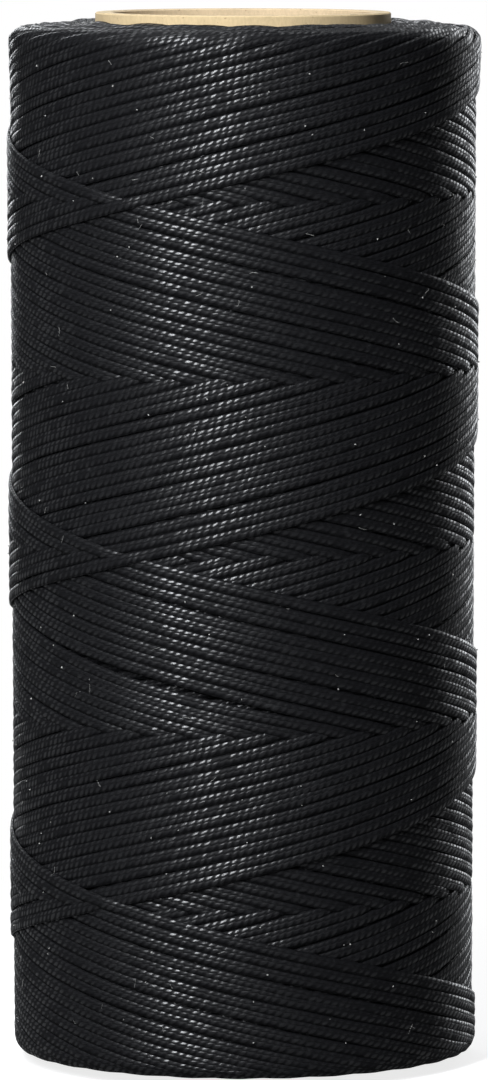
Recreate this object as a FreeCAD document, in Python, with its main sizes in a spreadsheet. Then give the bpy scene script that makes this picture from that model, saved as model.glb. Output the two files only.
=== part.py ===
"""Waxed thread spool: a paper tube, wound from five plies, carrying a cross-wound thread pack.

Millimetres, +Z up.  The origin is the centre of the tube's lower end, and +Z runs along the
tube's axis.  The tube stands on its lower end and the thread pack stops a little short of
both ends of the tube.

The pack is one long thread.  It is modelled as the covers that the winder lays down, one
closed sleeve for each time the thread has covered the whole tube, plus its loose outer end.
"""
import FreeCAD
import Part
import Sketcher
import os

NODE_FOLDER = "parts"

# ---------------------------------------------------------------- driving dimensions

DIMENSIONS = {
    # paper tube
    "tube_length": 122.0,
    "tube_bore_radius": 15.15,
    "ply_thickness": 0.4,
    "ply_count": 5,
    "glue_line": 0.02,
    "seam_width": 0.35,
    "seam_depth": 0.26,
    "seam_pitch": 75.0,
    "seam_overrun": 1.0,
    "rim_wear": 0.14,
    # thread pack
    "tube_overhang_low": 0.6,
    "tube_overhang_high": 1.0,
    "pack_radius_low": 26.9,
    "pack_radius_high": 27.3,
    "pack_crown": 0.9,
    "pack_edge_radius": 0.8,
    "cover_count": 10,
    "cover_clearance": 0.02,
    # thread
    "thread_diameter": 0.85,
    "winding_pitch": 40.0,
    "tail_height": 38.0,
    "tail_sweep": 105.0,
}
TAIL_START_ANGLE = 35.0
PLY_NAMES = ("core_liner_ply", "core_inner_ply", "core_middle_ply", "core_outer_ply", "core_face_ply")
SEAM_TURN_PER_PLY = 144.0

doc = FreeCAD.newDocument("waxed_thread_spool")
sheet = doc.addObject("Spreadsheet::Sheet", "Sizes")
for row, (alias, value) in enumerate(DIMENSIONS.items(), start=1):
    sheet.set(f"A{row}", alias)
    sheet.set(f"B{row}", str(value))
    sheet.setAlias(f"B{row}", alias)
doc.recompute()

ply_count = int(sheet.get("ply_count"))
cover_count = int(sheet.get("cover_count"))
TUBE_OUTER = "(Sizes.tube_bore_radius + Sizes.ply_count * Sizes.ply_thickness)"


# ---------------------------------------------------------------- drawing helpers


def origin_feature(body, role):
    """The body's own origin plane or axis that plays this role."""
    for feature in body.Origin.OriginFeatures:
        if feature.Role == role:
            return feature
    raise ValueError(f"{body.Label} has no origin feature {role}")


def half_section(body, name):
    """An empty sketch on the XZ plane: its first axis is the radius and its second is Z."""
    sketch = body.newObject("Sketcher::SketchObject", name)
    sketch.AttachmentSupport = (origin_feature(body, "XZ_Plane"), [""])
    sketch.MapMode = "FlatFace"
    return sketch


def dimension(sketch, kind, edge, point, name, expression, start):
    """Holds one coordinate of a sketch point at a formula over the sheet."""
    index = sketch.addConstraint(Sketcher.Constraint(kind, edge, point, start))
    sketch.renameConstraint(index, name)
    sketch.setExpression(f"Constraints.{name}", expression)


def four_sided(sketch, corners):
    """Draws a closed four-sided outline.

    corners holds a (radius, height) pair of formulas for each corner, anticlockwise from the
    one nearest the axis at the bottom.  A height of None puts the corner on the floor, z = 0.
    """
    rough = [(10.0, 1.0), (20.0, 1.0), (20.0, 90.0), (10.0, 90.0)]
    points = [FreeCAD.Vector(x, y, 0) for x, y in rough]
    for edge in range(4):
        sketch.addGeometry(Part.LineSegment(points[edge], points[(edge + 1) % 4]), False)
    for edge in range(4):
        sketch.addConstraint(Sketcher.Constraint("Coincident", edge, 2, (edge + 1) % 4, 1))
    for edge, (radius, height) in enumerate(corners):
        dimension(sketch, "DistanceX", edge, 1, f"radius_{edge}", radius, rough[edge][0])
        if height is None:
            sketch.addConstraint(Sketcher.Constraint("PointOnObject", edge, 1, -1))
        else:
            dimension(sketch, "DistanceY", edge, 1, f"height_{edge}", height, rough[edge][1])


def turned(body, sketch):
    """Turns the half section once round the Z axis."""
    revolution = body.newObject("PartDesign::Revolution", f"{body.Name}_turned")
    revolution.Profile = (sketch, [""])
    revolution.ReferenceAxis = (sketch, ["V_Axis"])
    revolution.Angle = 360.0
    sketch.Visibility = False
    doc.recompute()
    return revolution


def rim_edges(feature, outer):
    """The circular edges at the feature's greatest radius, or at its least."""
    circles = []
    for index, edge in enumerate(feature.Shape.Edges, start=1):
        if isinstance(edge.Curve, Part.Circle):
            circles.append((edge.Curve.Radius, edge.Curve.Center.z, f"Edge{index}"))
    heights = [height for radius, height, name in circles]
    names = []
    for end in (min(heights), max(heights)):
        at_end = [circle for circle in circles if abs(circle[1] - end) < 1e-6]
        names.append(max(at_end)[2] if outer else min(at_end)[2])
    return names


# ---------------------------------------------------------------- the paper tube


def wind_ply(number):
    """One ply of the tube: a paper strip wound in a spiral.

    Its edges meet in a butt seam, a groove open on the ply's inner side, because glue fills
    the rest of the joint.  Each seam is turned away from the seam of the ply below it, so
    that no two lie over each other.  The outermost ply is lapped and pasted, and has none.
    """
    body = doc.addObject("PartDesign::Body", PLY_NAMES[number - 1])
    body.Label = PLY_NAMES[number - 1]
    inside = f"Sizes.tube_bore_radius + {number - 1} * Sizes.ply_thickness"
    outside = f"Sizes.tube_bore_radius + {number} * Sizes.ply_thickness"
    if number < ply_count:
        outside += " - Sizes.glue_line"
    section = half_section(body, f"{body.Name}_section")
    four_sided(
        section,
        [
            (inside, None),
            (outside, None),
            (outside, "Sizes.tube_length"),
            (inside, "Sizes.tube_length"),
        ],
    )
    tip = turned(body, section)
    if number in (1, ply_count):
        tip = wear_rims(body, tip, outer=number == ply_count)
    if number < ply_count:
        cut_seam(body, tip, inside)
    turn = FreeCAD.Rotation(FreeCAD.Vector(0, 0, 1), SEAM_TURN_PER_PLY * (number - 1))
    body.Placement = FreeCAD.Placement(FreeCAD.Vector(0, 0, 0), turn)
    return body


def wear_rims(body, feature, outer):
    """Takes the sharp corner off both cut ends of the ply."""
    chamfer = body.newObject("PartDesign::Chamfer", f"{body.Name}_worn_rims")
    chamfer.Base = (feature, rim_edges(feature, outer))
    chamfer.setExpression("Size", "Sizes.rim_wear")
    doc.recompute()
    return chamfer


def cut_seam(body, feature, inside):
    """Cuts the helical groove where the edges of the ply's strip meet."""
    whole = feature.Shape.Volume
    groove = half_section(body, f"{body.Name}_seam_section")
    four_sided(
        groove,
        [
            (f"{inside} - Sizes.glue_line", "-Sizes.seam_overrun - Sizes.seam_width"),
            (f"{inside} + Sizes.seam_depth", "-Sizes.seam_overrun - Sizes.seam_width"),
            (f"{inside} + Sizes.seam_depth", "-Sizes.seam_overrun"),
            (f"{inside} - Sizes.glue_line", "-Sizes.seam_overrun"),
        ],
    )
    doc.recompute()
    seam = body.newObject("PartDesign::SubtractiveHelix", f"{body.Name}_seam")
    seam.Profile = (groove, [""])
    seam.ReferenceAxis = (groove, ["V_Axis"])
    seam.Mode = 0
    seam.setExpression("Pitch", "Sizes.seam_pitch")
    seam.setExpression("Height", "Sizes.tube_length + 2 * Sizes.seam_overrun + Sizes.seam_width")
    groove.Visibility = False
    doc.recompute()
    if not 0.9 * whole < seam.Shape.Volume < whole:
        raise RuntimeError(f"{body.Label}: the seam did not cut")


# ---------------------------------------------------------------- the thread pack


def cover_radius(number, end):
    """Formula for the outer radius of a cover at its low or high end."""
    share = f"(Sizes.pack_radius_{end} - {TUBE_OUTER}) * {number} / Sizes.cover_count"
    return f"{TUBE_OUTER} + {share}"


def wind_cover(number):
    """One full cover of thread: a slightly tapered sleeve over the cover below it.

    The traverse shortens as the pack grows, so each cover ends a little inside the one
    below it and the ends of the pack are slightly domed.
    """
    name = f"thread_cover_{number:02d}"
    body = doc.addObject("PartDesign::Body", name)
    body.Label = name
    crown = f"Sizes.pack_crown * ({number} / Sizes.cover_count) ^ 4"
    low = f"Sizes.tube_overhang_low + {crown}"
    high = f"Sizes.tube_length - Sizes.tube_overhang_high - {crown}"
    section = half_section(body, f"{name}_section")
    four_sided(
        section,
        [
            (f"{cover_radius(number - 1, 'low')} + Sizes.cover_clearance", low),
            (cover_radius(number, "low"), low),
            (cover_radius(number, "high"), high),
            (f"{cover_radius(number - 1, 'high')} + Sizes.cover_clearance", high),
        ],
    )
    tip = turned(body, section)
    if number == cover_count:
        fillet = body.newObject("PartDesign::Fillet", f"{name}_round_edges")
        fillet.Base = (tip, rim_edges(tip, outer=True))
        fillet.setExpression("Radius", "Sizes.pack_edge_radius")
        doc.recompute()
    return body


def lay_tail():
    """The thread's loose outer end, laid round the outside of the pack at the winding angle."""
    body = doc.addObject("PartDesign::Body", "thread_tail")
    body.Label = "thread_tail"
    section = half_section(body, "tail_section")
    section.addGeometry(Part.Circle(FreeCAD.Vector(28, 40, 0), FreeCAD.Vector(0, 0, 1), 0.5), False)
    radius = "Sizes.pack_radius_high + Sizes.thread_diameter / 2 + Sizes.cover_clearance"
    dimension(section, "DistanceX", 0, 3, "radius", radius, 28.0)
    dimension(section, "DistanceY", 0, 3, "height", "Sizes.tail_height", 40.0)
    index = section.addConstraint(Sketcher.Constraint("Diameter", 0, 1.0))
    section.renameConstraint(index, "thread")
    section.setExpression("Constraints.thread", "Sizes.thread_diameter")
    doc.recompute()
    helix = body.newObject("PartDesign::AdditiveHelix", "tail_run")
    helix.Profile = (section, [""])
    helix.ReferenceAxis = (section, ["V_Axis"])
    helix.Mode = 0
    helix.setExpression("Pitch", "Sizes.winding_pitch")
    helix.setExpression("Height", "Sizes.winding_pitch * Sizes.tail_sweep / 360")
    section.Visibility = False
    turn = FreeCAD.Rotation(FreeCAD.Vector(0, 0, 1), TAIL_START_ANGLE)
    body.Placement = FreeCAD.Placement(FreeCAD.Vector(0, 0, 0), turn)
    return body


# ---------------------------------------------------------------- build, check and write

nodes = [wind_ply(number) for number in range(1, ply_count + 1)]
nodes += [wind_cover(number) for number in range(1, cover_count + 1)]
nodes.append(lay_tail())
doc.recompute()

for item in doc.Objects:
    if "Invalid" in item.State or "Error" in item.State:
        raise RuntimeError(f"{item.Label} did not recompute: {item.State}")
for node in nodes:
    if node.Shape.isNull() or not node.Shape.isValid() or len(node.Shape.Solids) != 1:
        raise RuntimeError(f"{node.Label} is not one valid solid")

os.makedirs(NODE_FOLDER, exist_ok=True)
for node in nodes:
    node.Shape.exportStep(f"{NODE_FOLDER}/{node.Label}.step")
    box = node.Shape.BoundBox
    print(f"{node.Label}: {node.Shape.Volume:.0f} mm3, z {box.ZMin:.2f} to {box.ZMax:.2f}")
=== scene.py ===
"""The looks of the waxed thread spool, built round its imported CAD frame.

The CAD holds the thread pack as plain sleeves.  Here the outermost cover is wound again as the
one continuous thread that it is: up and down passes, crossing in bands, turned back at both
ends of the pack.  The covers below it show only at the ends of the pack, as loops of thread.
The paper plies of the tube stay as the CAD made them and take a paper material.

Angles round the spool are measured from the front (-Y) towards the right (+X).  Lengths are
metres, and the thread's own texture coordinates are millimetres along it.
"""

import math

import bpy
import numpy as np
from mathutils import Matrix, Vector


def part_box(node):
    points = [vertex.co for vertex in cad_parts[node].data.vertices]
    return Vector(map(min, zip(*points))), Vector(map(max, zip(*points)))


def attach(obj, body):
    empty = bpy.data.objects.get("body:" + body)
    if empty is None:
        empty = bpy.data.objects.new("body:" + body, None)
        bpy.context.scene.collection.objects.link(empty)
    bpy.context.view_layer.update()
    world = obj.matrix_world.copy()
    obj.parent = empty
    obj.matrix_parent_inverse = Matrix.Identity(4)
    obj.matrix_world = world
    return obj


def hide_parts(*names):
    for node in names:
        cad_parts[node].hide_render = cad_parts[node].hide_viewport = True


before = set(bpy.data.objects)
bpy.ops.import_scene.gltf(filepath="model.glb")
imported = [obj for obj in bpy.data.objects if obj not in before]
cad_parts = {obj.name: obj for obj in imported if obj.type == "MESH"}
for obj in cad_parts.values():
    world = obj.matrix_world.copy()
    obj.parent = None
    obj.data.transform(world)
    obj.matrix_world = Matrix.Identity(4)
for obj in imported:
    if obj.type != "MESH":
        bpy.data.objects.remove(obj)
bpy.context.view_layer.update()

MM = 0.001
TURN = 2 * math.pi
rng = np.random.default_rng(7)

# ---------------------------------------------------------------- sizes read from the frame

COVERS = sorted(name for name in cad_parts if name.startswith("thread_cover_"))
OUTER_COVER = COVERS[-1]
INNER_COVERS = COVERS[:-1]

TUBE_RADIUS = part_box("core_face_ply")[1].x
PACK_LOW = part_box(COVERS[0])[0].z
PACK_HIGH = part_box(COVERS[0])[1].z
TRAVERSE = PACK_HIGH - PACK_LOW
OUTER_SHARE = 0.975      # a point of the cover beyond this share of its radius is on its outside


def pack_taper():
    """Radius of the pack at its low end, and its growth per metre of height."""
    points = np.array([v.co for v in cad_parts[OUTER_COVER].data.vertices])
    radii = np.hypot(points[:, 0], points[:, 1])
    outside = radii > OUTER_SHARE * radii.max()
    growth, at_floor = np.polyfit(points[outside, 2], radii[outside], 1)
    return at_floor + growth * PACK_LOW, growth


PACK_RADIUS, PACK_GROWTH = pack_taper()
MID_RADIUS = PACK_RADIUS + PACK_GROWTH * TRAVERSE / 2
COVER_BUILD = (MID_RADIUS - TUBE_RADIUS) / len(COVERS)

# ---------------------------------------------------------------- the winding

LAYER = 0.41 * COVER_BUILD        # radial build of one pass of thread over another
PITCH = TRAVERSE / 3              # height gained in one turn of the spool
PASSES = 30                       # there-and-back passes in one full cover
STEP_ROUND = TURN / PASSES        # how far each pass lies round from the one before
SPACING = PITCH / PASSES          # height between neighbouring threads
NEWEST = math.radians(144)        # where the newest climbing pass leaves the foot of the pack
HALF_WINDING = 3 * TURN - STEP_ROUND / 2   # angle wound in one pass, end to end
DWELL = 0.36                      # half the angle over which a pass turns back
SLOPE = TRAVERSE / HALF_WINDING   # height gained per radian
TAIL_ANGLE = math.radians(230)    # where the last pass, a falling one, leaves the surface

THREAD_HALF_WIDTH = 0.70 * MM
THREAD_HALF_HEIGHT = 0.27 * MM
PROFILE_POINTS = 8
PROFILE_POWER = 0.72     # 1 makes the thread's section an ellipse, less makes it squarer
FINE_STEP = 0.6 * MM     # between points along the thread where it shows
HIDDEN_STRIDE = 6        # one point in so many is kept where other passes cover the thread
HIDDEN_DEPTH = 0.6       # the thread counts as covered once it is so many passes older

ROLL_DEPTH_HIGH = 0.80 * MM     # how far the pack's shoulders roll in at the upper end
ROLL_DEPTH_LOW = 0.20 * MM
ROLL_START = 2.6 * MM           # from the pack's end to where the roll begins
ROLL_SPAN = 1.5 * MM
FLARE_RISE = 0.16 * MM
FLARE_PLACE = 3.0 * MM          # from the upper end to the middle of the flare
FLARE_REACH = 3.2 * MM


def smooth(x):
    """An even step from 0 to 1 as x goes from 0 to 1."""
    x = np.clip(x, 0.0, 1.0)
    return x * x * (3 - 2 * x)


def base_radius(z):
    """Radius of the surface that the outermost cover is wound on, z above the pack's foot."""
    return PACK_RADIUS + PACK_GROWTH * z - LAYER


def edge_shape(z):
    """The pack's shoulders: rolled in at both ends, with a slight flare inside the upper one."""
    from_end = np.minimum(z, TRAVERSE - z)
    deep = np.where(z > TRAVERSE / 2, ROLL_DEPTH_HIGH, ROLL_DEPTH_LOW)
    rolled = -deep * smooth((ROLL_START - from_end) / ROLL_SPAN) ** 2
    flare = FLARE_RISE * np.exp(-(((TRAVERSE - z) - FLARE_PLACE) / FLARE_REACH) ** 2)
    return rolled + flare


def wrap_age(age):
    """The age of the newest pass over a place, from an age counted without end."""
    return np.maximum((age + 0.5) % PASSES - 0.5, 0)


def field_ages(angle, z):
    """Ages, in passes, of the newest climbing and falling passes at a place on the pack.

    The thread is laid clockwise seen from above, so a climbing pass leans to the left.
    """
    share = z / TRAVERSE
    climb = (NEWEST + STEP_ROUND / 2 * share - (angle + TURN * z / PITCH)) / STEP_ROUND
    fall = (NEWEST + STEP_ROUND / 2 * (2 - share) - (angle - TURN * z / PITCH)) / STEP_ROUND
    fall = wrap_age(fall)
    unfinished = (fall < 0.5) & (z < TAIL_HEIGHT)
    return wrap_age(climb), np.where(unfinished, fall + PASSES, fall)


def surface_radius(angle, z):
    """Radius of the top of the wound surface."""
    climb, fall = field_ages(angle, z)
    return base_radius(z) + LAYER * (2 - (climb + fall) / PASSES) + edge_shape(z)


def slow_noise(position, wavelength, seed):
    """Smooth noise of about unit size along a thread."""
    phases = np.random.default_rng(seed).uniform(0, TURN, 4)
    total = np.zeros_like(position)
    for number, phase in enumerate(phases):
        total += np.sin(position * TURN / (wavelength * (0.63 + 0.41 * number)) + phase)
    return total / 2


def tail_height():
    """Height above the pack's foot at which the last pass comes to the tail."""
    turns = (TAIL_ANGLE - NEWEST - STEP_ROUND * 0.75) / TURN
    return PITCH * (turns % 1 + 1)


TAIL_HEIGHT = tail_height()

PASS_WANDER = 0.065              # spread of whole passes from their even places, in spacings
ALONG_WANDER = 0.06              # slow drift along the thread, in spacings
CLIMB_WANDER = rng.normal(0, PASS_WANDER, PASSES + 2)
FALL_WANDER = rng.normal(0, PASS_WANDER, PASSES + 2)
CLIMB_WAVELENGTH = 2.9           # of the slow drifts, in wound radians
FALL_WAVELENGTH = 2.3
WANDER_START = 2 * MM            # the turns don't wander closer than this to the pack's ends
WANDER_RAMP = 3 * MM
UNEVEN_RISE = 0.02 * MM          # small differences in how hard the thread is pressed down
UNEVEN_WAVELENGTH = 0.9

STRAY_ANGLE = math.radians(4)    # where one turning loop stands proud of the upper end
STRAY_RISE = 0.55 * MM
STRAY_DEPTH = 1.8 * MM
STRAY_REACH = 0.09               # in radians

GAP_ANGLE = math.radians(-20)
GAP_HEIGHT = 45 * MM
GAP_REACH_ROUND = 0.60           # in radians
GAP_REACH_UP = 9 * MM
GAP_SHIFTS = {17: -0.12, 18: -0.27, 19: -0.50, 20: 0.18, 21: 0.06}   # climbing pass: spacings
GAP_AGE = PASSES - 1 - 19.4      # the gap lies between the climbing passes 19 and 20
GAP_AGE_REACH = 0.65
GAP_DEPTH = 0.75 * MM            # how far the falling passes under the gap sink into it


def near_gap(angle, z):
    """1 in the middle of the gap that two climbing passes leave between them, 0 far from it."""
    around = (angle - GAP_ANGLE + math.pi) % TURN - math.pi
    return np.exp(-((around / GAP_REACH_ROUND) ** 2) - ((z - GAP_HEIGHT) / GAP_REACH_UP) ** 2)


def wander(wound, angle, z, climb_number, fall_number, mix):
    """How far, in spacings, each point lies above its even place."""
    climb = CLIMB_WANDER[climb_number] + ALONG_WANDER * slow_noise(wound, CLIMB_WAVELENGTH, 1)
    fall = FALL_WANDER[fall_number] + ALONG_WANDER * slow_noise(wound, FALL_WAVELENGTH, 2)
    for number, shift in GAP_SHIFTS.items():
        climb = climb + shift * near_gap(angle, z) * (climb_number == number)
    free = smooth((np.minimum(z, TRAVERSE - z) - WANDER_START) / WANDER_RAMP)
    return free * ((1 - mix) * climb + mix * fall)


def winding(start, stop):
    """The thread's path between two wound angles, counted from the foot of the oldest pass.

    Returns the angles round the spool, centre radii, heights above the pack's foot and
    whether each point lies on the surface.
    """
    count = int((stop - start) * MID_RADIUS / FINE_STEP)
    wound = np.linspace(start, stop, count)
    cycle = wound / (2 * HALF_WINDING)
    climb_number = np.floor(cycle + 0.25).astype(int)
    fall_number = np.floor(cycle - 0.25).astype(int)
    reversal = np.round(wound / HALF_WINDING)
    past = wound - reversal * HALF_WINDING
    from_end = SLOPE * np.where(
        np.abs(past) < DWELL, DWELL / 2 + past**2 / (2 * DWELL), np.abs(past)
    )
    at_top = reversal % 2 == 1
    z = np.where(at_top, TRAVERSE - from_end, from_end)
    turned = smooth((past + DWELL) / (2 * DWELL))
    mix = np.where(at_top, turned, 1 - turned)
    angle = NEWEST - (PASSES - 1) * STEP_ROUND - wound

    climb_age = PASSES - 1 - climb_number
    fall_age = PASSES - 1 - fall_number
    climb_field, fall_field = field_ages(angle, z)
    climb_under = smooth(climb_age - fall_field + 1)
    fall_under = 1 - smooth(climb_field - fall_age + 1)
    floor = base_radius(z) + edge_shape(z)
    climb_radius = floor + LAYER * (1.5 - (climb_age + fall_field) / PASSES - climb_under)
    fall_radius = floor + LAYER * (1.5 - (climb_field + fall_age) / PASSES - fall_under)
    at_gap = np.exp(-(((climb_field - GAP_AGE) / GAP_AGE_REACH) ** 2))
    fall_radius -= GAP_DEPTH * near_gap(angle, z) * at_gap
    radius = (1 - mix) * climb_radius + mix * fall_radius
    kernel = np.array([1, 3, 4, 3, 1]) / 12
    radius[2:-2] = np.convolve(radius, kernel, mode="valid")
    radius = radius + UNEVEN_RISE * slow_noise(wound, UNEVEN_WAVELENGTH, 3)
    astray = (angle - STRAY_ANGLE + math.pi) % TURN - math.pi
    near_top = np.exp(-(((TRAVERSE - z) / STRAY_DEPTH) ** 2))
    z = z + STRAY_RISE * near_top * np.exp(-((astray / STRAY_REACH) ** 2))
    passes_over = np.where(mix < 0.5, climb_age - fall_field, fall_age - climb_field - 1)
    z = z + SPACING * wander(wound, angle, z, climb_number, fall_number, mix)
    return angle, radius, z, passes_over <= HIDDEN_DEPTH


# ---------------------------------------------------------------- meshes swept along a path


TEXTURE_GAP = 37.0    # millimetres of thread texture skipped between the strands of one mesh


class Strands:
    """Collects thread-like tubes and makes one mesh object of them."""

    def __init__(self):
        self.vertices = []
        self.loops = []
        self.starts = []
        self.uvs = []
        self.vertex_count = 0
        self.loop_count = 0

    def add_faces(self, faces, uvs):
        """Faces of equal size: vertex numbers counted from the next free one, and their UVs."""
        count, corners = faces.shape
        self.loops.append(faces.ravel() + self.vertex_count)
        self.starts.append(self.loop_count + corners * np.arange(count))
        self.uvs.append(uvs.reshape(-1, 2))
        self.loop_count += count * corners

    def add(
        self, centres, normals, half_width, half_height, sides=PROFILE_POINTS, power=PROFILE_POWER
    ):
        """A closed tube with a flattened round section along the centres.

        Its texture coordinates run along it in millimetres, and once round it from the
        underside, by the upper edge and the outside.
        """
        tangents = np.gradient(centres, axis=0)
        tangents /= np.linalg.norm(tangents, axis=1)[:, None]
        normals = normals - (normals * tangents).sum(1)[:, None] * tangents
        normals /= np.linalg.norm(normals, axis=1)[:, None]
        across = np.cross(tangents, normals)
        turns = -math.pi / 2 + TURN * np.arange(sides) / sides
        wide = np.sign(np.cos(turns)) * np.abs(np.cos(turns)) ** power
        high = np.sign(np.sin(turns)) * np.abs(np.sin(turns)) ** power
        half_width = np.broadcast_to(half_width, len(centres))
        half_height = np.broadcast_to(half_height, len(centres))
        rings = (
            centres[:, None, :]
            + across[:, None, :] * (half_width[:, None] * wide)[:, :, None]
            + normals[:, None, :] * (half_height[:, None] * high)[:, :, None]
        )
        steps = np.linalg.norm(np.diff(centres, axis=0), axis=1)
        along = np.concatenate([[0], np.cumsum(steps)]) / MM + TEXTURE_GAP * len(self.starts)
        ring = np.arange(len(centres) - 1)[:, None] * sides
        side = np.arange(sides)[None, :]
        after = (side + 1) % sides
        quads = np.stack([ring + side, ring + sides + side, ring + sides + after, ring + after], -1)
        here = np.broadcast_to(along[:-1, None], (len(centres) - 1, sides))
        there = np.broadcast_to(along[1:, None], here.shape)
        low = np.broadcast_to(side / sides, here.shape)
        high_v = low + 1 / sides
        uvs = np.stack(
            [
                np.stack([here, low], -1),
                np.stack([there, low], -1),
                np.stack([there, high_v], -1),
                np.stack([here, high_v], -1),
            ],
            -2,
        )
        self.add_faces(quads.reshape(-1, 4), uvs)
        last = (len(centres) - 1) * sides
        caps = np.stack([np.arange(sides), last + np.arange(sides)[::-1]])
        cap_uvs = np.stack([np.full((2, sides), along[0]), np.full((2, sides), 0.5)], -1)
        self.add_faces(caps, cap_uvs)
        self.vertices.append(rings.reshape(-1, 3))
        self.vertex_count += rings.shape[0] * sides

    def piece(self, name, material):
        """The collected strands as one object of the scene."""
        mesh = bpy.data.meshes.new(name)
        vertices = np.concatenate(self.vertices).astype(np.float32)
        loops = np.concatenate(self.loops).astype(np.int32)
        starts = np.concatenate(self.starts).astype(np.int32)
        mesh.vertices.add(len(vertices))
        mesh.vertices.foreach_set("co", vertices.ravel())
        mesh.loops.add(len(loops))
        mesh.loops.foreach_set("vertex_index", loops)
        mesh.polygons.add(len(starts))
        mesh.polygons.foreach_set("loop_start", starts)
        mesh.polygons.foreach_set("use_smooth", np.ones(len(starts), bool))
        layer = mesh.uv_layers.new(name="thread")
        layer.data.foreach_set("uv", np.concatenate(self.uvs).astype(np.float32).ravel())
        mesh.update(calc_edges=True)
        mesh.validate()
        mesh.materials.append(material)
        piece = bpy.data.objects.new(name, mesh)
        bpy.context.scene.collection.objects.link(piece)
        return piece


def outward(angle):
    """Unit vectors pointing out of the spool at these angles from the front."""
    return np.stack([np.sin(angle), -np.cos(angle), np.zeros_like(angle)], -1)


def on_spool(angle, radius, height):
    """Points at these angles from the front, radii and heights above the floor."""
    points = outward(angle) * np.asarray(radius)[..., None]
    points[..., 2] = height
    return points


def tilted(angle, tilt):
    """Unit vectors pointing outwards, turned up (or down, if negative) by tilt."""
    normals = outward(angle) * np.cos(tilt)[..., None]
    normals[..., 2] = np.sin(tilt)
    return normals


# ---------------------------------------------------------------- materials


class Nodes:
    """Short names for building one material's node tree."""

    def __init__(self, name):
        self.material = bpy.data.materials.new(name)
        self.material.use_nodes = True
        self.tree = self.material.node_tree
        self.shader = self.tree.nodes["Principled BSDF"]

    def put(self, value, socket):
        """Links a socket's value to an input, or sets a plain one."""
        if isinstance(value, bpy.types.NodeSocket):
            self.tree.links.new(value, socket)
        else:
            socket.default_value = value

    def math(self, operation, first, second=0.0):
        node = self.tree.nodes.new("ShaderNodeMath")
        node.operation = operation
        for value, socket in zip((first, second), node.inputs):
            self.put(value, socket)
        return node.outputs[0]

    def combine(self, x, y, z=0.0):
        node = self.tree.nodes.new("ShaderNodeCombineXYZ")
        for value, socket in zip((x, y, z), node.inputs):
            self.put(value, socket)
        return node.outputs[0]

    def split(self, vector):
        node = self.tree.nodes.new("ShaderNodeSeparateXYZ")
        self.put(vector, node.inputs[0])
        return node.outputs

    def uv(self, name):
        node = self.tree.nodes.new("ShaderNodeUVMap")
        node.uv_map = name
        return node.outputs[0]

    def place(self):
        """The place in the piece's own space, in metres."""
        return self.tree.nodes.new("ShaderNodeTexCoord").outputs["Object"]

    def noise(self, vector, scale, detail=2.0, roughness=0.5):
        node = self.tree.nodes.new("ShaderNodeTexNoise")
        self.put(vector, node.inputs["Vector"])
        node.inputs["Scale"].default_value = scale
        node.inputs["Detail"].default_value = detail
        node.inputs["Roughness"].default_value = roughness
        return node.outputs[0]

    def ramp(self, value, low, high, start=0.0, stop=1.0):
        """A smooth change from start to stop while the value goes from low to high."""
        node = self.tree.nodes.new("ShaderNodeMapRange")
        node.interpolation_type = "SMOOTHSTEP"
        for given, socket in zip((value, low, high, start, stop), node.inputs):
            self.put(given, socket)
        return node.outputs[0]

    def blend(self, factor, first, second):
        node = self.tree.nodes.new("ShaderNodeMix")
        node.data_type = "RGBA"
        self.put(factor, node.inputs["Factor"])
        for colour, name in ((first, "A"), (second, "B")):
            socket = [s for s in node.inputs if s.name == name and s.type == "RGBA"][0]
            self.put(colour if isinstance(colour, bpy.types.NodeSocket) else (*colour, 1), socket)
        return [s for s in node.outputs if s.type == "RGBA"][0]

    def bump(self, height, distance, strength=1.0):
        node = self.tree.nodes.new("ShaderNodeBump")
        self.put(height, node.inputs["Height"])
        node.inputs["Distance"].default_value = distance
        node.inputs["Strength"].default_value = strength
        return node.outputs[0]

    def set(self, **values):
        """Sets the shader's inputs, named with _ for a space, and returns the material."""
        for name, value in values.items():
            self.put(value, self.shader.inputs[name.replace("_", " ")])
        return self.material


PLIES_ROUND = 3          # plies laid round the thread
PLY_SPACING = 0.93       # millimetres along the thread from one ply's crown to the next
ROWS_ROUND = 6           # rows of yarn crowns met in going once round
ROW_START = 0.17         # where round the thread the first row lies, in rows
ROW_TILT = 0.24          # how far a yarn climbs towards the next row over one ply
LAY_WANDER = 1.2         # how far the plies drift from their even places, in plies
LAY_WANDER_RATE = 0.31   # per millimetre along the thread
FIBRE_RATE = 2.2         # of the fine relief, per millimetre along the thread
FIBRES_ROUND = 40.0
PLY_POWER = 1.5          # more than 1 makes a ply's crown shorter along the thread
YARN_POWER = 0.6         # less than 1 makes a row's crown broader round the thread
PLY_RELIEF = 0.22        # shares of the relief's height
YARN_RELIEF = 0.78
FIBRE_RELIEF = 0.22
RELIEF = 0.088 * MM
# painted shade: the valleys between the yarn crowns are coloured darker than the crowns, standing
# for the shade in them
VALLEY_PAINTED_SHADE = (0.0024, 0.0024, 0.0030)
CROWN_COLOUR = (0.0037, 0.0038, 0.0048)
BLOOM_COLOUR = (0.045, 0.046, 0.048)    # wax that has dried pale
BLOOM_SHARE = 0.20
DULL_ROUGHNESS, SHINING_ROUGHNESS = 0.62, 0.305
DULL_SPECULAR, SHINING_SPECULAR = 0.17, 0.64
WAX_IOR = 1.46
LEAST_WAX, MOST_WAX = 0.42, 0.92        # in patches a few millimetres across
GLOSS_START, GLOSS_FULL = 0.20, 1.15    # wax on a crown, from where it begins to shine


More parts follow.
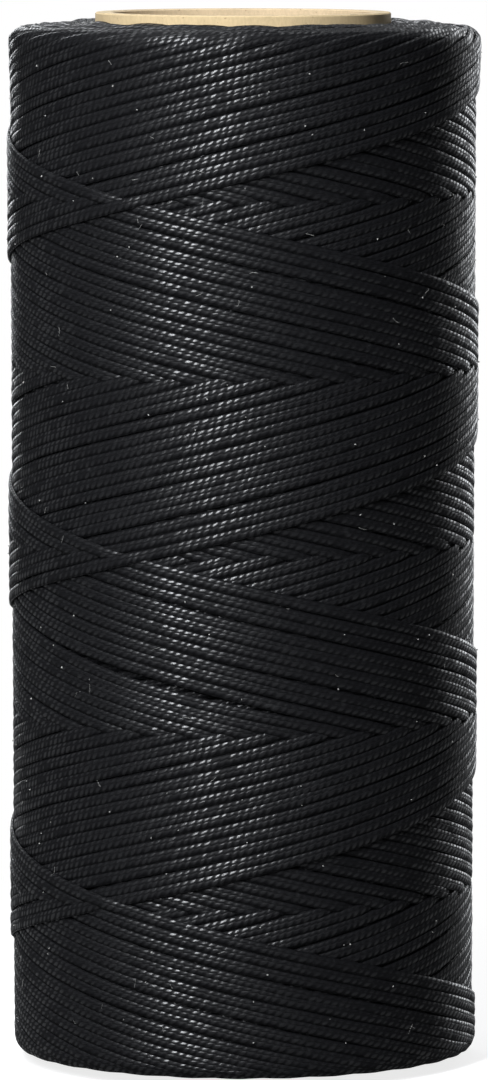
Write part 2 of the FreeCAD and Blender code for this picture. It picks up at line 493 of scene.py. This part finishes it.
def waxed_thread():
    """Black waxed polyester: plies laid round the thread, and on each ply short yarn crowns.

    The yarns lie almost along the thread, as they do in any cabled thread, so each ply shows
    as a short dash in every row.  Wax makes some dashes shine and leaves others dull.
    The colour is painted darker in the valleys between the crowns: painted shade.
    """
    n = Nodes("waxed_thread")
    along, around, _ = n.split(n.uv("thread"))
    drift = n.noise(n.combine(n.math("MULTIPLY", along, LAY_WANDER_RATE), 0.0), scale=1.0)
    plies_along = n.math("DIVIDE", along, PLY_SPACING)
    lay = n.math("SUBTRACT", plies_along, n.math("MULTIPLY", around, PLIES_ROUND))
    lay = n.math("ADD", lay, n.math("MULTIPLY", drift, LAY_WANDER))
    within_ply = n.math("FRACT", lay)
    climb = n.math("MULTIPLY", n.math("SUBTRACT", within_ply, 0.5), ROW_TILT)
    row = n.math("SUBTRACT", n.math("MULTIPLY", around, ROWS_ROUND), climb)
    row = n.math("ADD", row, ROW_START)
    cell = n.combine(n.math("FLOOR", lay), n.math("FLOOR", row))
    luck = n.tree.nodes.new("ShaderNodeTexWhiteNoise")
    luck.noise_dimensions = "2D"
    n.put(cell, luck.inputs["Vector"])
    luck = luck.outputs["Value"]
    ply = n.math("POWER", n.math("SINE", n.math("MULTIPLY", within_ply, math.pi)), PLY_POWER)
    yarn = n.math("ABSOLUTE", n.math("SINE", n.math("MULTIPLY", row, math.pi)))
    yarn = n.math("POWER", yarn, YARN_POWER)
    crown = n.math("MULTIPLY", ply, yarn)
    fibres = n.combine(
        n.math("MULTIPLY", along, FIBRE_RATE), n.math("MULTIPLY", around, FIBRES_ROUND)
    )
    fine = n.noise(fibres, scale=1.0, detail=3.0, roughness=0.6)
    height = n.math(
        "ADD", n.math("MULTIPLY", ply, PLY_RELIEF), n.math("MULTIPLY", yarn, YARN_RELIEF)
    )
    height = n.math("ADD", height, n.math("MULTIPLY", fine, FIBRE_RELIEF))
    bloom = n.ramp(n.noise(n.place(), scale=900.0, detail=3.0, roughness=0.6), 0.56, 0.80)
    # painted shade: the base colour darkens from the yarn crowns into the valleys between them;
    # pale wax bloom is then mixed in at random patches
    shade = n.blend(crown, VALLEY_PAINTED_SHADE, CROWN_COLOUR)
    shade = n.blend(n.math("MULTIPLY", bloom, BLOOM_SHARE), shade, BLOOM_COLOUR)
    patch = n.noise(n.place(), scale=300.0, roughness=0.6)
    patch = n.ramp(patch, 0.38, 0.62, start=LEAST_WAX, stop=MOST_WAX)
    waxed = n.math("MULTIPLY", crown, n.math("ADD", luck, patch))
    gloss = n.ramp(waxed, GLOSS_START, GLOSS_FULL)
    return n.set(
        Base_Color=shade,
        Roughness=n.ramp(gloss, 0.0, 1.0, DULL_ROUGHNESS, SHINING_ROUGHNESS),
        Normal=n.bump(height, RELIEF),
        IOR=WAX_IOR,
        Specular_IOR_Level=n.ramp(gloss, 0.0, 1.0, DULL_SPECULAR, SHINING_SPECULAR),
    )


SPECK_COLOUR = (0.20, 0.12, 0.06)
SPECK_SHARE = 0.45
PAPER_RELIEF = 0.05 * MM
PAPER_SPECULAR = 0.25
FIBRE_SHARE = 0.55       # of the paper's tone; the rest is mottle
UPRIGHT_STRETCH = 2.4    # how many times longer upright than across the paper's fibres look


def paper(name, light, dark):
    """Kraft board: short fibres, a soft mottle between two tones, and dark specks."""
    n = Nodes(name)
    spot = n.place()
    x, y, z = n.split(spot)
    grain = n.combine(
        n.math("MULTIPLY", x, UPRIGHT_STRETCH), n.math("MULTIPLY", y, UPRIGHT_STRETCH), z
    )
    fibres = n.noise(grain, scale=1500.0, detail=4.0, roughness=0.65)
    mottle = n.noise(spot, scale=160.0, detail=3.0)
    pulp = n.noise(spot, scale=5200.0)
    tone = n.math(
        "ADD", n.math("MULTIPLY", fibres, FIBRE_SHARE), n.math("MULTIPLY", mottle, 1 - FIBRE_SHARE)
    )
    colour = n.blend(n.ramp(tone, 0.36, 0.64), dark, light)
    specks = n.ramp(n.noise(spot, scale=2600.0, detail=1.0), 0.70, 0.76)
    colour = n.blend(n.math("MULTIPLY", specks, SPECK_SHARE), colour, SPECK_COLOUR)
    relief = n.math("ADD", n.math("MULTIPLY", fibres, 0.7), n.math("MULTIPLY", pulp, 0.3))
    return n.set(
        Base_Color=colour,
        Roughness=n.ramp(fibres, 0.3, 0.7, start=0.78, stop=0.95),
        Normal=n.bump(relief, PAPER_RELIEF, strength=0.8),
        Specular_IOR_Level=PAPER_SPECULAR,
    )


LINT_DARK, LINT_PALE = (0.20, 0.20, 0.20), (0.52, 0.51, 0.48)


def lint_fibre():
    """Pale dust, dull, in greys that differ from speck to speck."""
    n = Nodes("lint")
    tone = n.noise(n.place(), scale=2500.0)
    colour = n.blend(tone, LINT_DARK, LINT_PALE)
    return n.set(Base_Color=colour, Roughness=n.ramp(tone, 0.3, 0.7, start=0.6, stop=0.9))


THREAD = waxed_thread()

# ---------------------------------------------------------------- the outermost cover

WHOLE = 2 * HALF_WINDING     # angle wound in one there-and-back pass
LAST_WOUND = (PASSES - 0.5) * WHOLE + (TRAVERSE - TAIL_HEIGHT) / SLOPE    # where the tail begins
GROUPS = 6
SHOULDER_TILT = math.radians(48)
TILT_START = 2.2 * MM        # from the pack's end to where the thread begins to tilt
TILT_SPAN = 1.6 * MM
SWELL = 0.035                # share by which the thread's width varies
SWELL_WAVELENGTH = 0.55      # in radians round the spool


def shoulder_tilt(z):
    """How far the thread's flat face turns up or down where it runs over the pack's shoulders."""
    from_end = np.minimum(z, TRAVERSE - z)
    side = np.where(z > TRAVERSE / 2, 1.0, -1.0)
    return side * SHOULDER_TILT * smooth((TILT_START - from_end) / TILT_SPAN)


def wind_group(number):
    """One sixth of the outermost cover: five there-and-back passes of the thread."""
    share = PASSES / GROUPS * WHOLE
    start = LAST_WOUND - (GROUPS - number) * share
    angle, radius, z, shown = winding(start, start + share)
    keep = shown | (np.arange(len(angle)) % HIDDEN_STRIDE == 0)
    keep[-1] = True
    angle, radius, z = angle[keep], radius[keep], z[keep]
    swell = 1 + SWELL * slow_noise(angle, SWELL_WAVELENGTH, 5)
    strands = Strands()
    strands.add(
        on_spool(angle, radius, z + PACK_LOW),
        tilted(angle, shoulder_tilt(z)),
        THREAD_HALF_WIDTH * swell,
        THREAD_HALF_HEIGHT * (2 - swell),
    )
    piece = strands.piece(f"outer_winding_{number + 1}", THREAD)
    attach(piece, "root")
    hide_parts(OUTER_COVER)


for group in range(GROUPS):
    wind_group(group)

# ---------------------------------------------------------------- the covers beneath

LOOP_REACH = math.radians(25)
SHINGLE = 0.4 * MM / math.radians(12)   # how fast a loop sinks under the next ones
SLEEVE_RECESS = 1.1 * MM     # the sleeve's ends lie so far under its loops
SLEEVE_INSET = 0.35 * MM     # the last sleeve lies so far under the outermost cover
SLEEVE_SIDES = 96
LOOP_POINTS = 19
LOOP_SIDES = 6
LOOP_SCATTER_ROUND = 0.02    # in radians
LOOP_SCATTER_OUT = 0.10 * MM
LOOP_START, LOOP_SPREAD = 0.12, 0.75     # where in a cover its loops lie, in shares of its build
LOOP_SLANT = 0.8             # share of the full sinking that a loop shows
LOOP_DEPTH = 0.34 * MM       # of the highest loops under the CAD cover's end
LOOP_SCATTER_DOWN = 0.40 * MM
LOOP_TILT = math.radians(52)
LOOP_NARROWING = 0.8
TUBE_CLEARANCE = 0.35 * MM


def add_sleeve(strands, inner, outer, low, high):
    """A closed sleeve, hidden under the loops at its ends."""
    turns = TURN * np.arange(SLEEVE_SIDES) / SLEEVE_SIDES
    corners = [(inner, low), (outer, low), (outer, high), (inner, high)]
    rings = np.concatenate([on_spool(turns, np.full(SLEEVE_SIDES, r), z) for r, z in corners])
    here = np.arange(SLEEVE_SIDES)
    after = (here + 1) % SLEEVE_SIDES
    faces = []
    for ring in range(len(corners)):
        this = ring * SLEEVE_SIDES
        following = (ring + 1) % len(corners) * SLEEVE_SIDES
        faces.append(np.stack([this + here, this + after, following + after, following + here], -1))
    faces = np.concatenate(faces)
    strands.add_faces(faces, np.full((len(faces), 4, 2), 0.5))
    strands.vertices.append(rings)
    strands.vertex_count += len(rings)


def wind_cover(name, number):
    """An inner cover: its hidden sleeve, and the loops where its passes turn back."""
    low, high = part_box(name)
    inner = TUBE_RADIUS + COVER_BUILD * number
    outer = inner + COVER_BUILD
    strands = Strands()
    add_sleeve(
        strands,
        inner,
        outer - (SLEEVE_INSET if number == len(INNER_COVERS) - 1 else 0),
        low.z + SLEEVE_RECESS,
        high.z - SLEEVE_RECESS,
    )
    past = np.linspace(-LOOP_REACH, LOOP_REACH, LOOP_POINTS)
    for end, face in ((-1, low.z), (1, high.z)):
        turned = rng.uniform(0, TURN)
        for loop in range(PASSES):
            centre = turned + loop * STEP_ROUND + rng.normal(0, LOOP_SCATTER_ROUND)
            angle = centre + past
            place = LOOP_START + loop / PASSES * LOOP_SPREAD
            radius = inner + COVER_BUILD * place - SHINGLE * past * LOOP_SLANT
            radius = radius + rng.normal(0, LOOP_SCATTER_OUT)
            radius = np.clip(radius, TUBE_RADIUS + TUBE_CLEARANCE, None)
            depth = LOOP_DEPTH + rng.uniform(0, LOOP_SCATTER_DOWN) + SLOPE * past**2 / (2 * DWELL)
            strands.add(
                on_spool(angle, radius, face - end * depth),
                tilted(angle, np.full(len(past), end * LOOP_TILT)),
                THREAD_HALF_WIDTH * LOOP_NARROWING,
                THREAD_HALF_HEIGHT,
                sides=LOOP_SIDES,
            )
    piece = strands.piece(name.replace("thread_cover", "inner_winding"), THREAD)
    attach(piece, "root")
    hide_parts(name)


for number, name in enumerate(INNER_COVERS):
    wind_cover(name, number)

# ---------------------------------------------------------------- the loose end

TAIL_SWEEP = math.radians(105)
TAIL_POINTS = 150
TAIL_SMOOTHING = 9                # points over which its rise and fall are evened out
TAIL_DROOP = 1.1 * MM             # how far its last fifth droops
TAIL_LIFT = 0.55 * MM             # how far its last tenth stands off the surface
TAIL_NARROWING = 0.18             # a loose thread is rounder than one pressed down by others
TAIL_STAND = 1.85                 # how far it rises out of the surface, in half thicknesses
FRAYED_STRANDS = 3
FRAY_POINTS = 12
FRAY_START, FRAY_STOP = -1.2, 1.0    # millimetres past the thread's cut end
FRAY_SPREAD = 0.30
FRAY_SPACING = 0.9 * MM
FRAY_CURL = 0.35
FRAY_HALF_WIDTH, FRAY_HALF_HEIGHT = 0.24 * MM, 0.20 * MM
FRAY_SIDES = 6


def lay_tail():
    """The thread's loose end: the last pass goes on over the pack, lifts a little and frays."""
    share = np.linspace(0, 1, TAIL_POINTS)
    angle = TAIL_ANGLE - TAIL_SWEEP * share
    z = TAIL_HEIGHT - SLOPE * TAIL_SWEEP * share
    z = z - TAIL_DROOP * smooth((share - 0.80) / 0.20)
    onto = smooth(share / 0.05)
    lift = TAIL_LIFT * smooth((share - 0.90) / 0.10)
    resting = surface_radius(angle, z) + THREAD_HALF_HEIGHT * (TAIL_STAND * onto - 1) + lift
    smoothing = np.ones(TAIL_SMOOTHING) / TAIL_SMOOTHING
    padded = np.pad(resting, TAIL_SMOOTHING // 2, mode="edge")
    radius = np.convolve(padded, smoothing, mode="valid")
    narrow = 1 - TAIL_NARROWING * onto
    strands = Strands()
    centres = on_spool(angle, radius, z + PACK_LOW)
    strands.add(
        centres, outward(angle), THREAD_HALF_WIDTH * narrow, THREAD_HALF_HEIGHT * (2 - narrow)
    )
    end, heading = centres[-1], centres[-1] - centres[-2]
    heading /= np.linalg.norm(heading)
    away = outward(angle[-1:])[0]
    aside = np.cross(heading, away)
    reach = np.linspace(FRAY_START, FRAY_STOP, FRAY_POINTS)[:, None] * MM
    bend = np.maximum(reach, 0) ** 2 / MM
    for strand in range(FRAYED_STRANDS):
        spread = (strand - 1) * FRAY_SPREAD
        course = end + heading * reach + aside * (spread * FRAY_SPACING + bend * spread)
        course = course + away * bend * FRAY_CURL * (1 - abs(spread))
        normals = np.tile(away, (FRAY_POINTS, 1))
        strands.add(course, normals, FRAY_HALF_WIDTH, FRAY_HALF_HEIGHT, FRAY_SIDES, power=1.0)
    piece = strands.piece("loose_end", THREAD)
    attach(piece, "root")
    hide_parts("thread_tail")


lay_tail()

# ---------------------------------------------------------------- lint on the wax

FIBRES = 110
SPECKS = 240
LINT_HEIGHTS = (3, 117)                  # above the pack's foot; these ranges are in millimetres
FIBRE_LENGTHS = (0.4, 1.6)
SPECK_LENGTHS = (0.06, 0.22)
FIBRE_HALF_THICKNESSES = (0.010, 0.020)
SPECK_HALF_THICKNESSES = (0.045, 0.11)
LINT_POINTS = 7
LINT_SIDES = 4
LINT_BEND = 0.5                          # spread of the turn from end to end, in radians
LINT_LIFT = 0.08 * MM                    # off the surface, at the middle
LINT_END_LIFT = 0.025 * MM               # how much further the ends stand off


def scatter_lint():
    """Short pale fibres and specks of dust caught on the waxed surface."""
    strands = Strands()
    for number in range(FIBRES + SPECKS):
        speck = number >= FIBRES
        centre = rng.uniform(0, TURN)
        height = rng.uniform(*LINT_HEIGHTS) * MM
        length = rng.uniform(*(SPECK_LENGTHS if speck else FIBRE_LENGTHS)) * MM
        heading = rng.uniform(0, math.pi)
        bend = rng.normal(0, LINT_BEND)
        step = np.linspace(-0.5, 0.5, LINT_POINTS)
        course = heading + bend * step
        angle = centre + np.cumsum(np.cos(course)) * length / LINT_POINTS / MID_RADIUS
        z = height + np.cumsum(np.sin(course)) * length / LINT_POINTS
        radius = surface_radius(angle, z) + LINT_LIFT + LINT_END_LIFT * np.abs(2 * step)
        half = rng.uniform(*(SPECK_HALF_THICKNESSES if speck else FIBRE_HALF_THICKNESSES)) * MM
        centres = on_spool(angle, radius, z + PACK_LOW)
        strands.add(centres, outward(angle), half, half, LINT_SIDES, power=1.0)
    piece = strands.piece("surface_lint", lint_fibre())
    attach(piece, "root")


scatter_lint()

# ---------------------------------------------------------------- the paper tube

PAPERS = {
    "core_liner_ply": paper("liner_paper", (0.60, 0.47, 0.305), (0.50, 0.39, 0.25)),
    "core_inner_ply": paper("board_inner", (0.61, 0.49, 0.31), (0.50, 0.395, 0.24)),
    "core_middle_ply": paper("board_middle", (0.565, 0.455, 0.285), (0.45, 0.355, 0.215)),
    "core_outer_ply": paper("board_outer", (0.61, 0.49, 0.31), (0.50, 0.395, 0.24)),
    "core_face_ply": paper("face_paper", (0.59, 0.455, 0.265), (0.50, 0.385, 0.22)),
}
for ply, material in PAPERS.items():
    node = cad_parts[ply]
    node.data.materials.clear()
    node.data.materials.append(material)

# ---------------------------------------------------------------- floor, light and camera

WHITE = (1, 1, 1)
FLOOR_REACH = 3.0
FLOOR_LEVEL = -0.05 * MM     # just under the spool, so that the two never share a face
FLOOR_GREY = (0.30, 0.30, 0.30)
FLOOR_GLOW = 0.80
FLOOR_GREY_UNSEEN = (0.20, 0.20, 0.20)     # as the spool sees the floor
SHADOW_START, SHADOW_REACH = 0.03, 0.16    # from the spool's axis: where the shadow fades out


def make_floor():
    """A pale floor: it takes a soft shadow round the spool and fades into the white backdrop."""
    mesh = bpy.data.meshes.new("floor")
    plan = [(-1, -1), (1, -1), (1, 1), (-1, 1)]
    corners = [(x * FLOOR_REACH, y * FLOOR_REACH, FLOOR_LEVEL) for x, y in plan]
    mesh.from_pydata(corners, [], [(0, 1, 2, 3)])
    floor = bpy.data.objects.new("floor", mesh)
    bpy.context.scene.collection.objects.link(floor)
    n = Nodes("floor")
    tree = n.tree
    for node in [node for node in tree.nodes if node.type != "OUTPUT_MATERIAL"]:
        tree.nodes.remove(node)
    out = [node for node in tree.nodes if node.type == "OUTPUT_MATERIAL"][0]

    def shader(kind, colour, strength=None):
        node = tree.nodes.new(kind)
        node.inputs[0].default_value = (*colour, 1)
        if strength is not None:
            node.inputs[1].default_value = strength
        return node.outputs[0]

    def mixed(factor, first, second, kind="ShaderNodeMixShader"):
        node = tree.nodes.new(kind)
        sockets = list(node.inputs)
        if kind == "ShaderNodeMixShader":
            tree.links.new(factor, sockets.pop(0))
        tree.links.new(first, sockets[0])
        tree.links.new(second, sockets[1])
        return node.outputs[0]

    shaded = mixed(
        None,
        shader("ShaderNodeBsdfDiffuse", FLOOR_GREY),
        shader("ShaderNodeEmission", WHITE, FLOOR_GLOW),
        "ShaderNodeAddShader",
    )
    x, y, _ = n.split(n.place())
    away = n.math("SQRT", n.math("ADD", n.math("MULTIPLY", x, x), n.math("MULTIPLY", y, y)))
    fade = n.ramp(away, SHADOW_START, SHADOW_REACH)
    seen = mixed(fade, shaded, shader("ShaderNodeEmission", WHITE, 1.0))
    dim = shader("ShaderNodeBsdfDiffuse", FLOOR_GREY_UNSEEN)
    rays = tree.nodes.new("ShaderNodeLightPath")
    tree.links.new(mixed(rays.outputs["Is Camera Ray"], dim, seen), out.inputs[0])
    mesh.materials.append(n.material)


ROOM_COLOUR = (0.95, 0.97, 1.0)
ROOM_STRENGTH = 0.052


def make_world():
    """White to the camera; a dim room to everything else, so that black thread stays black."""
    world = bpy.data.worlds.new("studio")
    bpy.context.scene.world = world
    world.use_nodes = True
    tree = world.node_tree
    tree.nodes.clear()
    white = tree.nodes.new("ShaderNodeBackground")
    white.inputs[0].default_value = (*WHITE, 1)
    white.inputs[1].default_value = 1.0
    room = tree.nodes.new("ShaderNodeBackground")
    room.inputs[0].default_value = (*ROOM_COLOUR, 1)
    room.inputs[1].default_value = ROOM_STRENGTH
    rays = tree.nodes.new("ShaderNodeLightPath")
    mix = tree.nodes.new("ShaderNodeMixShader")
    out = tree.nodes.new("ShaderNodeOutputWorld")
    tree.links.new(rays.outputs["Is Camera Ray"], mix.inputs[0])
    tree.links.new(room.outputs[0], mix.inputs[1])
    tree.links.new(white.outputs[0], mix.inputs[2])
    tree.links.new(mix.outputs[0], out.inputs[0])


LIGHT_COLOUR = (0.94, 0.965, 1.0)
LIGHT_AIM = 0.06     # height on the spool's axis that the lights face


def soft_box(name, azimuth, height, distance, width, tall, power):
    """A rectangular light, in metres and watts, at an angle in degrees from the front."""
    lamp = bpy.data.lights.new(name, "AREA")
    lamp.shape = "RECTANGLE"
    lamp.size = width
    lamp.size_y = tall
    lamp.energy = power
    lamp.color = LIGHT_COLOUR
    holder = bpy.data.objects.new(name, lamp)
    turn = math.radians(azimuth)
    holder.location = (distance * math.sin(turn), -distance * math.cos(turn), height)
    to_spool = Vector((0, 0, LIGHT_AIM)) - holder.location
    holder.rotation_euler = to_spool.to_track_quat("-Z", "Y").to_euler()
    bpy.context.scene.collection.objects.link(holder)


def make_lights():
    """A narrow key that draws the bright band down the front, and soft light all round."""
    soft_box("key", -23, height=0.42, distance=0.5, width=0.085, tall=0.5, power=6.9)
    soft_box("left_fill", -112, height=0.3, distance=1.0, width=0.4, tall=0.8, power=0.5)
    soft_box("right_rim", 152, height=0.3, distance=1.0, width=0.4, tall=0.8, power=5.0)
    soft_box("back_key", -164, height=0.4, distance=0.9, width=0.14, tall=0.8, power=3.0)
    soft_box("overhead", 200, height=1.1, distance=0.35, width=0.8, tall=0.8, power=3.5)


CAMERA_DISTANCE = 0.95   # in front of the spool's axis
CAMERA_HEIGHT = 0.1469
AIM_HEIGHT = 0.06055     # where the camera points
AIM_SIDE = 0.0001        # the picture's middle lies a little to the right of the axis
FIELD_HEIGHT = 0.1259    # height of the picture at the spool's axis
SENSOR = 36              # millimetres


def make_camera():
    """A long lens, a little above the top of the spool, taking in its whole height."""
    camera = bpy.data.cameras.new("camera")
    camera.sensor_width = SENSOR
    aim = Vector((AIM_SIDE, 0, AIM_HEIGHT))
    spot = Vector((AIM_SIDE, -CAMERA_DISTANCE, CAMERA_HEIGHT))
    reach = (aim - spot).length
    camera.lens = camera.sensor_width * reach / FIELD_HEIGHT
    camera.clip_start = 0.05
    camera.clip_end = 20
    holder = bpy.data.objects.new("camera", camera)
    holder.location = spot
    holder.rotation_euler = (aim - spot).to_track_quat("-Z", "Y").to_euler()
    bpy.context.scene.collection.objects.link(holder)
    bpy.context.scene.camera = holder


make_floor()
make_world()
make_lights()
make_camera()
bpy.context.scene.view_settings.view_transform = "Standard"
